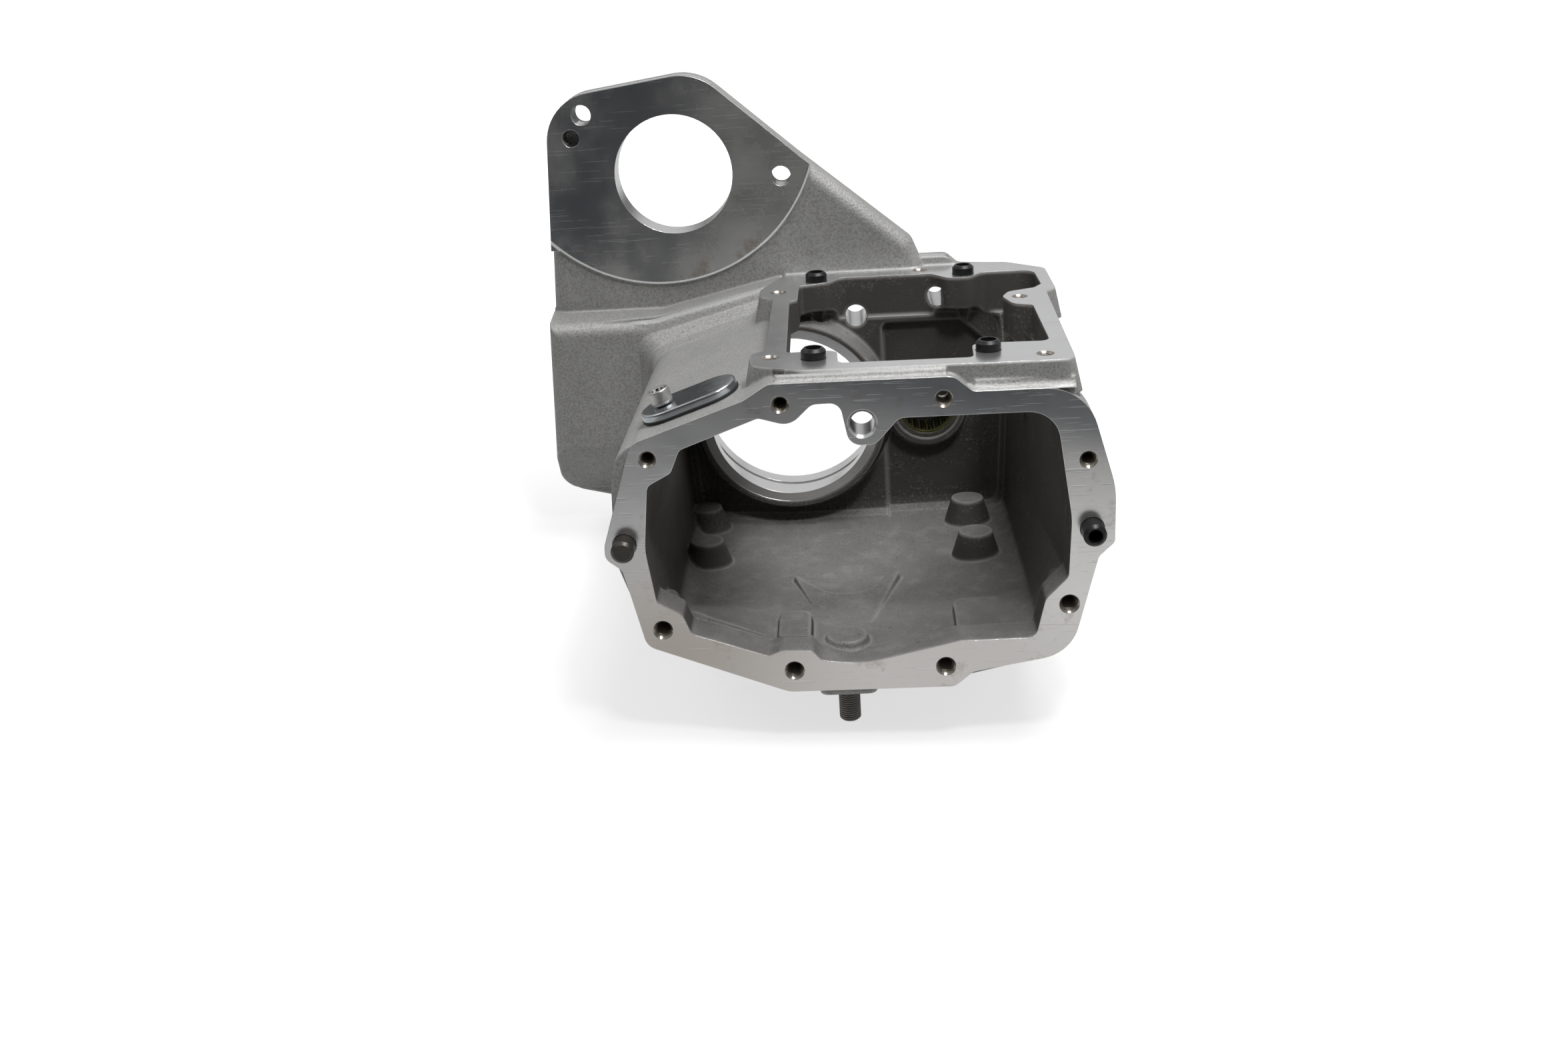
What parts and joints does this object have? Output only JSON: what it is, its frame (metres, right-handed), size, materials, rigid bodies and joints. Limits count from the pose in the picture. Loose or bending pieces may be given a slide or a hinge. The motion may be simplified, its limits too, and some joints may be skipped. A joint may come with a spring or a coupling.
{
  "type": "gearbox housing",
  "caption": "Cast aluminium gearbox housing with an open door face, top opening, bearing bores and a starter plate",
  "frame": {"origin": "centre of the mainshaft bore, at the front edge of its inner lip", "axes": "+Y along the mainshaft bore, from the open door face towards the outer mounting face; +Z towards the machined top face; +X to the right, seen from the door"},
  "size_m": [0.2563, 0.204, 0.2614],
  "materials": {
    "cast_aluminium": "satin cast, machined faces",
    "black_steel": "black oxide",
    "dark_steel": "dark oiled",
    "stud_steel": "dark phosphate",
    "bearing_steel": "drawn, oiled",
    "roller_steel": "ground",
    "cage_steel": "greased",
    "gasket": "matte",
    "plated_cover": "bright zinc",
    "screw_steel": "bright zinc, knurled"
  },
  "bodies": {
    "housing": {"gearbox_case": "cast_aluminium", "top_dowel_1": "black_steel", "top_dowel_2": "black_steel", "top_dowel_3": "black_steel", "top_dowel_4": "black_steel", "door_dowel_left": "dark_steel", "door_dowel_right": "black_steel", "mounting_stud": "stud_steel", "countershaft_bearing_cup": "bearing_steel", "cover_gasket": "gasket", "sensor_hole_cover": "plated_cover", "cover_screw": "screw_steel"},
    "needle_cage": {"countershaft_bearing_cage": "cage_steel", "countershaft_needle_rollers": "roller_steel"}
  },
  "joints": [
    {"name": "needle_cage_turn", "type": "hinge", "parent": "housing", "child": "needle_cage", "pos_m": [0.0673, 0.018, -0.0005], "axis": [0, 1, 0], "continuous": true}
  ]
}
